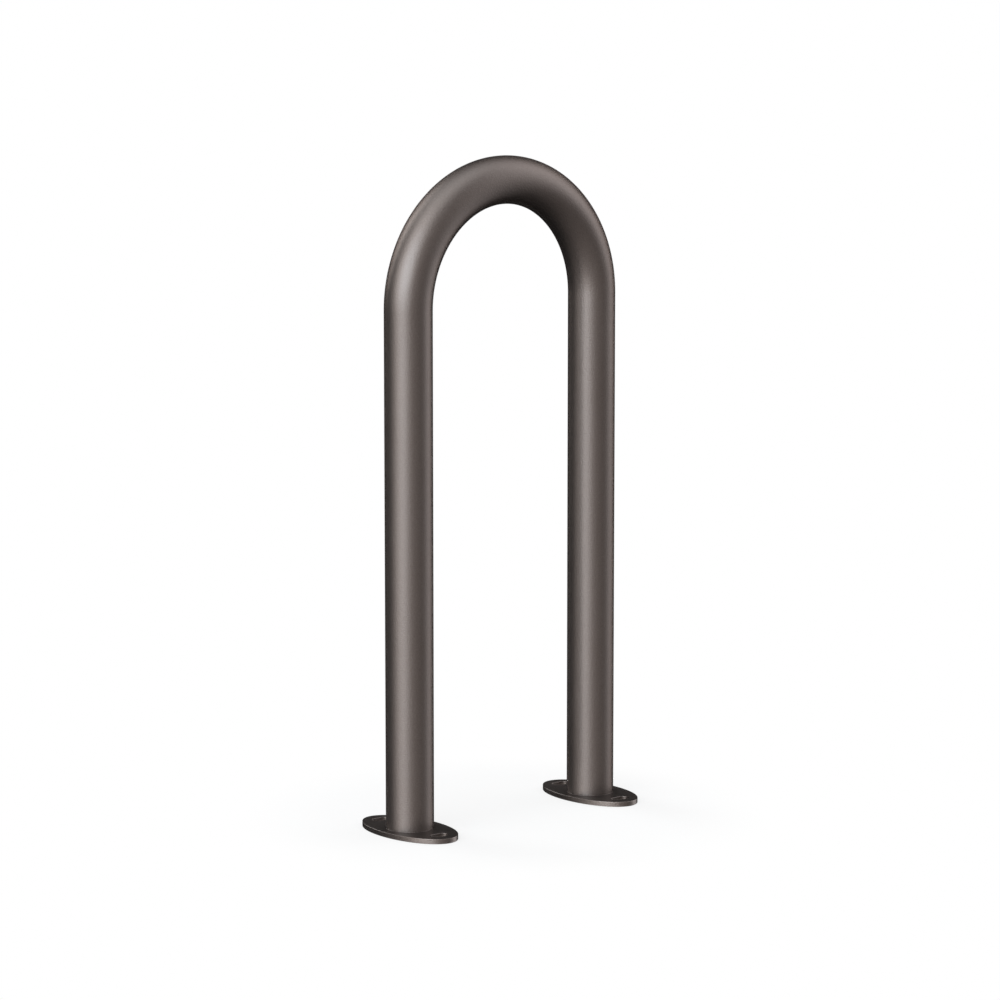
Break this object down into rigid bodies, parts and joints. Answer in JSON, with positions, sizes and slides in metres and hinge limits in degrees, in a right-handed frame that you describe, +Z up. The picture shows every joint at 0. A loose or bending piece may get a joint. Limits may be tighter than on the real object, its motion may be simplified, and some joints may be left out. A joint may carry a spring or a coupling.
{
  "type": "hoop bike rack",
  "caption": "Upside-down U of bent steel pipe on oval flanges that bolt to the ground, for leaning and locking a bicycle.",
  "frame": {"origin": "on the ground, midway between the two legs", "axes": "+Z up, X along the line of the two feet, in the hoop's plane, Y across it, along the flanges"},
  "size_m": [0.389, 0.1572, 0.8382],
  "materials": {
    "pipe_coat": "satin powder coat over steel, dark bronze, with a fine grain",
    "flange_coat": "the same satin dark bronze powder coat, over flat plate",
    "weld_coat": "the same dark bronze powder coat, over a rippled weld bead"
  },
  "bodies": {
    "root": {"hoop_tube": "pipe_coat", "left_base_flange": "flange_coat", "right_base_flange": "flange_coat", "left_base_weld": "weld_coat", "right_base_weld": "weld_coat"}
  },
  "joints": []
}
